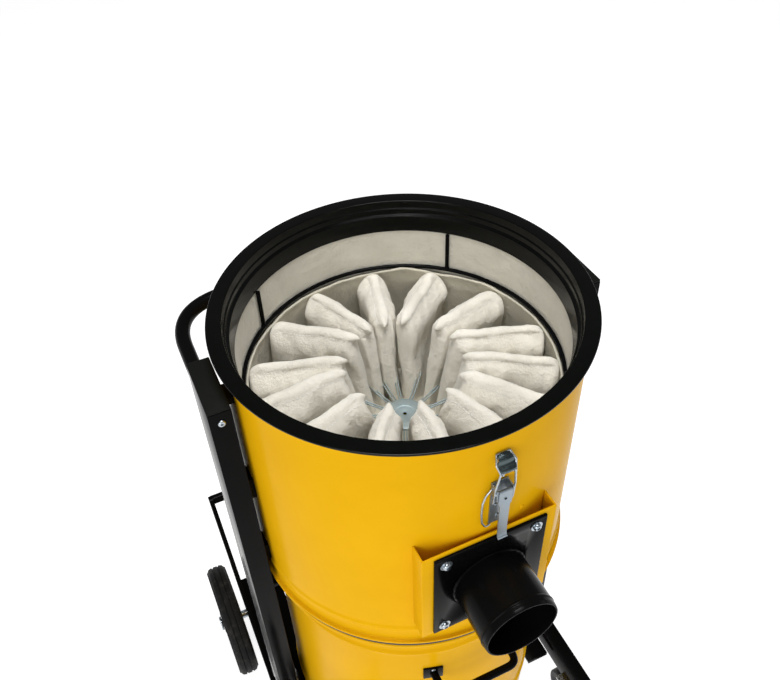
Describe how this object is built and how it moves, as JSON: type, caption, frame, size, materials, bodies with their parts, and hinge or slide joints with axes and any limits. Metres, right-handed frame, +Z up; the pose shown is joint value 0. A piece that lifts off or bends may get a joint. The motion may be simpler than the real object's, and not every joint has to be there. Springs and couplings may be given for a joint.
{
  "type": "dust collector",
  "caption": "Wheeled dust collector with its motor head lifted off: star filter in an open steel chamber, hose inlet, toggle latch, push handle and a dust bin lowered by a lever.",
  "frame": {"origin": "on the floor, on the axis of the filter chamber", "axes": "+Z up, +Y towards the push handle, -Y towards the hose inlet, +X to the right seen from the inlet side"},
  "size_m": [0.655, 0.64, 1],
  "materials": {
    "yellow_paint": "glossy golden yellow powder coat",
    "black_paint": "glossy black powder coat",
    "cap_plastic": "satin black moulding",
    "rim_rubber": "smooth black rubber with a soft sheen",
    "filter_felt": "off-white needle felt, sewn",
    "zinc": "bright zinc plate",
    "wheel_plastic": "dark grey moulded plastic",
    "tyre_rubber": "solid black rubber"
  },
  "bodies": {
    "chassis": {"filter_chamber": "yellow_paint", "inlet_bracket": "yellow_paint", "inlet_socket": "black_paint", "left_upright": "black_paint", "right_upright": "black_paint", "left_cap": "cap_plastic", "right_cap": "cap_plastic", "left_cap_screw": "zinc", "right_cap_screw": "zinc", "push_handle": "black_paint", "base_frame": "black_paint", "left_axle": "zinc", "right_axle": "zinc", "left_caster_plate": "zinc", "right_caster_plate": "zinc", "bin_seal": "rim_rubber", "latch_base": "zinc", "rear_catch": "zinc"},
    "filter": {"rim_ring": "rim_rubber", "filter_sleeve": "filter_felt", "filter_pocket_01": "filter_felt", "filter_pocket_02": "filter_felt", "filter_pocket_03": "filter_felt", "filter_pocket_04": "filter_felt", "filter_pocket_05": "filter_felt", "filter_pocket_06": "filter_felt", "filter_pocket_07": "filter_felt", "filter_pocket_08": "filter_felt", "filter_pocket_09": "filter_felt", "filter_pocket_10": "filter_felt", "filter_pocket_11": "filter_felt", "filter_pocket_12": "filter_felt", "filter_pocket_13": "filter_felt", "filter_pocket_14": "filter_felt", "support_ring": "black_paint", "filter_cage": "zinc"},
    "latch_lever": {"latch_lever": "zinc"},
    "latch_bail": {"latch_bail": "zinc"},
    "lift_lever": {"lift_bail": "black_paint", "left_lift_crank": "zinc", "right_lift_crank": "zinc"},
    "lift_fork": {"lift_fork": "black_paint"},
    "bin": {"bin_shell": "yellow_paint", "bin_handle_front": "black_paint", "bin_handle_rear": "black_paint", "bin_dolly": "zinc"},
    "bin_roller_1": {"bin_roller_1": "wheel_plastic"},
    "bin_roller_2": {"bin_roller_2": "wheel_plastic"},
    "bin_roller_3": {"bin_roller_3": "wheel_plastic"},
    "bin_roller_4": {"bin_roller_4": "wheel_plastic"},
    "left_caster": {"left_caster_fork": "zinc"},
    "right_caster": {"right_caster_fork": "zinc"},
    "left_caster_wheel": {"left_caster_wheel": "wheel_plastic"},
    "right_caster_wheel": {"right_caster_wheel": "wheel_plastic"},
    "left_rear_wheel": {"left_wheel_hub": "wheel_plastic", "left_tyre": "tyre_rubber"},
    "right_rear_wheel": {"right_wheel_hub": "wheel_plastic", "right_tyre": "tyre_rubber"}
  },
  "joints": [
    {"name": "filter_lift_out", "type": "slide", "parent": "chassis", "child": "filter", "axis": [0, 0, 1], "range_m": [0, 0.36]},
    {"name": "latch_lever_hinge", "type": "hinge", "parent": "chassis", "child": "latch_lever", "pos_m": [0.0085, -0.241, 0.903], "axis": [-1, 0, 0], "range_deg": [0, 140]},
    {"name": "latch_bail_hinge", "type": "hinge", "parent": "latch_lever", "child": "latch_bail", "pos_m": [0.0085, -0.2405, 0.884], "axis": [-1, 0, 0], "range_deg": [-140, 0]},
    {"name": "lift_lever_hinge", "type": "hinge", "parent": "chassis", "child": "lift_lever", "pos_m": [0, 0, 0.19], "axis": [-1, 0, 0], "range_deg": [0, 37]},
    {"name": "fork_slide", "type": "slide", "parent": "chassis", "child": "lift_fork", "axis": [0, 0, -1], "range_m": [0, 0.015]},
    {"name": "bin_roll_out", "type": "slide", "parent": "lift_fork", "child": "bin", "axis": [0, -1, 0], "range_m": [0, 0.55]},
    {"name": "bin_roller_1_spin", "type": "hinge", "parent": "bin", "child": "bin_roller_1", "pos_m": [-0.14, -0.105, 0.05], "axis": [1, 0, 0], "continuous": true},
    {"name": "bin_roller_2_spin", "type": "hinge", "parent": "bin", "child": "bin_roller_2", "pos_m": [-0.14, 0.105, 0.05], "axis": [1, 0, 0], "continuous": true},
    {"name": "bin_roller_3_spin", "type": "hinge", "parent": "bin", "child": "bin_roller_3", "pos_m": [0.14, -0.105, 0.05], "axis": [1, 0, 0], "continuous": true},
    {"name": "bin_roller_4_spin", "type": "hinge", "parent": "bin", "child": "bin_roller_4", "pos_m": [0.14, 0.105, 0.05], "axis": [1, 0, 0], "continuous": true},
    {"name": "left_caster_swivel", "type": "hinge", "parent": "chassis", "child": "left_caster", "pos_m": [-0.251, -0.203, 0.088], "axis": [0, 0, 1], "continuous": true},
    {"name": "right_caster_swivel", "type": "hinge", "parent": "chassis", "child": "right_caster", "pos_m": [0.251, -0.203, 0.088], "axis": [0, 0, 1], "continuous": true},
    {"name": "left_caster_spin", "type": "hinge", "parent": "left_caster", "child": "left_caster_wheel", "pos_m": [-0.251, -0.175, 0.038], "axis": [1, 0, 0], "continuous": true},
    {"name": "right_caster_spin", "type": "hinge", "parent": "right_caster", "child": "right_caster_wheel", "pos_m": [0.251, -0.175, 0.038], "axis": [1, 0, 0], "continuous": true},
    {"name": "left_wheel_spin", "type": "hinge", "parent": "chassis", "child": "left_rear_wheel", "pos_m": [-0.303, 0.21, 0.11], "axis": [1, 0, 0], "continuous": true},
    {"name": "right_wheel_spin", "type": "hinge", "parent": "chassis", "child": "right_rear_wheel", "pos_m": [0.303, 0.21, 0.11], "axis": [1, 0, 0], "continuous": true}
  ],
  "couplings": [
    {"joint": "latch_bail_hinge", "follows": "latch_lever_hinge", "ratio": -1},
    {"joint": "fork_slide", "follows": "lift_lever_hinge", "m_per_rad": 0.0232}
  ]
}
